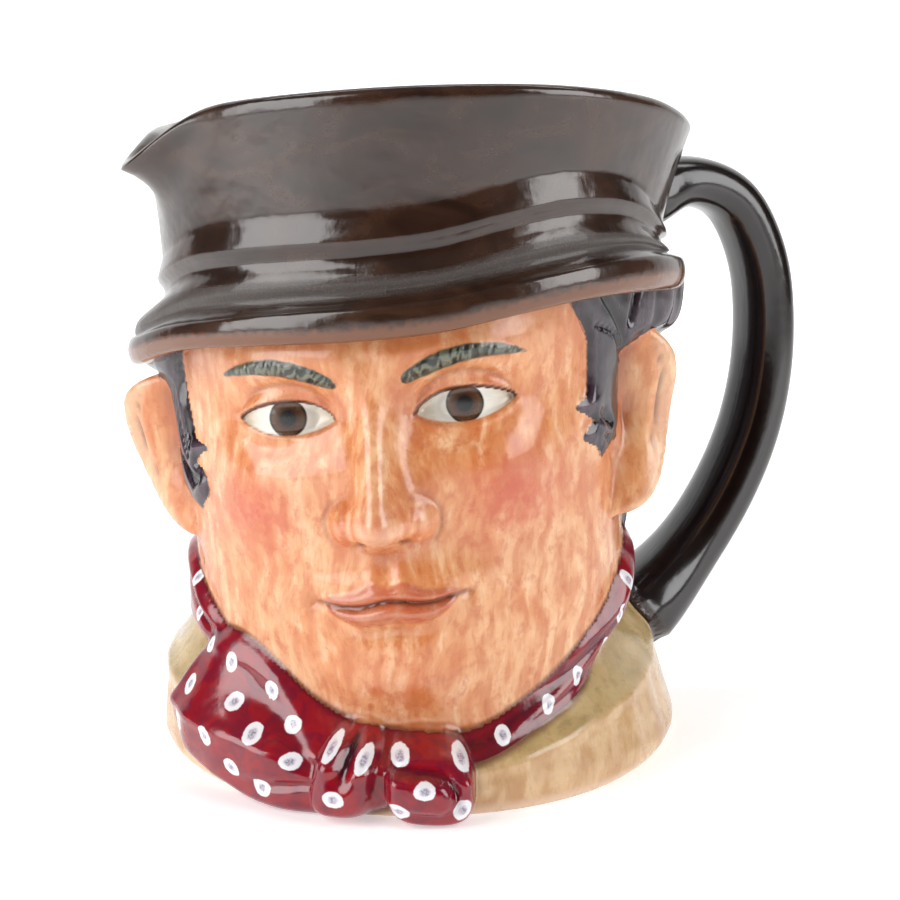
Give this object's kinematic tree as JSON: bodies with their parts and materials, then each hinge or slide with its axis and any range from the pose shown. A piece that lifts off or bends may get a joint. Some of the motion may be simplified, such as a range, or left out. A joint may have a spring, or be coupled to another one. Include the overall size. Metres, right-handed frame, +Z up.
{
  "type": "character jug",
  "caption": "Hollow glazed pottery jug in the shape of a man's head with a hat, a knotted neckerchief, a pouring lip and a loop handle.",
  "frame": {"origin": "on the flat underside, on the upright axis through the middle of the foot", "axes": "+Z up, the face looks along -Y, the handle stands out toward +X and a little back, the pouring lip is opposite it"},
  "size_m": [0.1769, 0.1385, 0.1636],
  "materials": {
    "glaze": "gloss"
  },
  "bodies": {
    "root": {"jug": "glaze"}
  },
  "joints": []
}
